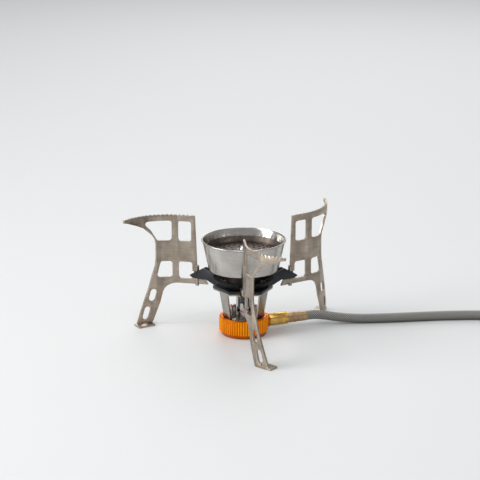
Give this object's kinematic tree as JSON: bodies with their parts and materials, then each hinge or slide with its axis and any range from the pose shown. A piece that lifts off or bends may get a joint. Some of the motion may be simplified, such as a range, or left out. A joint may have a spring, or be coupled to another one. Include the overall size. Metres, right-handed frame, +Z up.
{
  "type": "camping stove",
  "caption": "Low remote-canister gas stove with a round burner cup, curved folding legs that carry the pot, a knurled base and a braided hose ending in a canister valve.",
  "frame": {"origin": "on the ground under the burner's axis", "axes": "+Z up along the burner's axis, the front leg towards -Y, the gas hose leaving towards +X"},
  "size_m": [0.3764, 0.1834, 0.088],
  "materials": {
    "leg_steel": "warm brushed stainless sheet",
    "pin_steel": "plain zinc-bright steel",
    "black_paint": "black coated sheet steel",
    "cup_steel": "bright spun stainless",
    "burner_steel": "heat-darkened stainless",
    "frame_steel": "bright pressed stainless",
    "turned_aluminium": "turned bright",
    "orange_anodised": "orange anodised",
    "brass": "turned brass",
    "copper_brass": "crimped copper-brass",
    "filter_wire": "sintered brass",
    "hose_braid": "fine steel braid",
    "strap_fabric": "woven black strap",
    "black_plastic": "moulded",
    "red_washer": "moulded red",
    "seal_rubber": "soft seal",
    "wire_steel": "drawn stainless wire"
  },
  "bodies": {
    "stove": {"leg_pins": "pin_steel", "support_bracket": "black_paint", "heat_dish": "black_paint", "burner_spacer": "burner_steel", "burner_cup": "cup_steel", "mixing_tube": "turned_aluminium", "tube_nut": "brass", "flame_diffuser": "burner_steel", "flame_plate": "burner_steel", "flame_ring": "burner_steel", "burner_cap": "burner_steel", "cap_screw": "pin_steel", "cap_nut": "pin_steel", "lower_frame": "frame_steel", "frame_studs": "pin_steel", "stud_washers": "red_washer", "jet_nozzle": "brass", "jet_filter": "filter_wire", "base_ring": "orange_anodised", "base_block": "brass", "base_cover": "black_plastic", "inlet_seal": "seal_rubber", "inlet_nut": "brass", "stove_ferrule": "copper_brass", "gas_hose": "hose_braid", "gas_hose_coil": "hose_braid", "gas_hose_tail": "hose_braid", "coil_tie": "strap_fabric", "valve_ferrule": "copper_brass", "valve_hose_nut": "brass", "valve_body": "turned_aluminium", "canister_collar": "orange_anodised", "collar_seal": "seal_rubber", "opening_pin": "brass", "spindle_seal": "seal_rubber", "gland_nut": "brass"},
    "leg_front_body": {"leg_front": "leg_steel"},
    "leg_right_body": {"leg_right": "leg_steel"},
    "leg_left_body": {"leg_left": "leg_steel"},
    "valve_control": {"needle_spindle": "pin_steel", "control_hub": "brass", "hub_screw": "pin_steel"},
    "handle": {"wire_handle": "wire_steel"}
  },
  "joints": [
    {"name": "leg_front_fold", "type": "hinge", "parent": "stove", "child": "leg_front_body", "pos_m": [0, -0.0417, 0.0415], "axis": [0, 0, 1], "range_deg": [-5.5, 104.5]},
    {"name": "leg_right_fold", "type": "hinge", "parent": "stove", "child": "leg_right_body", "pos_m": [0.03611, 0.02085, 0.0415], "axis": [0, 0, 1], "range_deg": [-4.5, 105.5]},
    {"name": "leg_left_fold", "type": "hinge", "parent": "stove", "child": "leg_left_body", "pos_m": [-0.03611, 0.02085, 0.0415], "axis": [0, 0, 1], "range_deg": [-18, 92]},
    {"name": "valve_turn", "type": "hinge", "parent": "stove", "child": "valve_control", "pos_m": [0.2725, -0.087, 0.017], "axis": [0, -1, 0], "range_deg": [0, 720]},
    {"name": "handle_fold", "type": "hinge", "parent": "valve_control", "child": "handle", "pos_m": [0.2725, -0.0912, 0.017], "axis": [0, 0, 1], "range_deg": [-90, 90]}
  ]
}
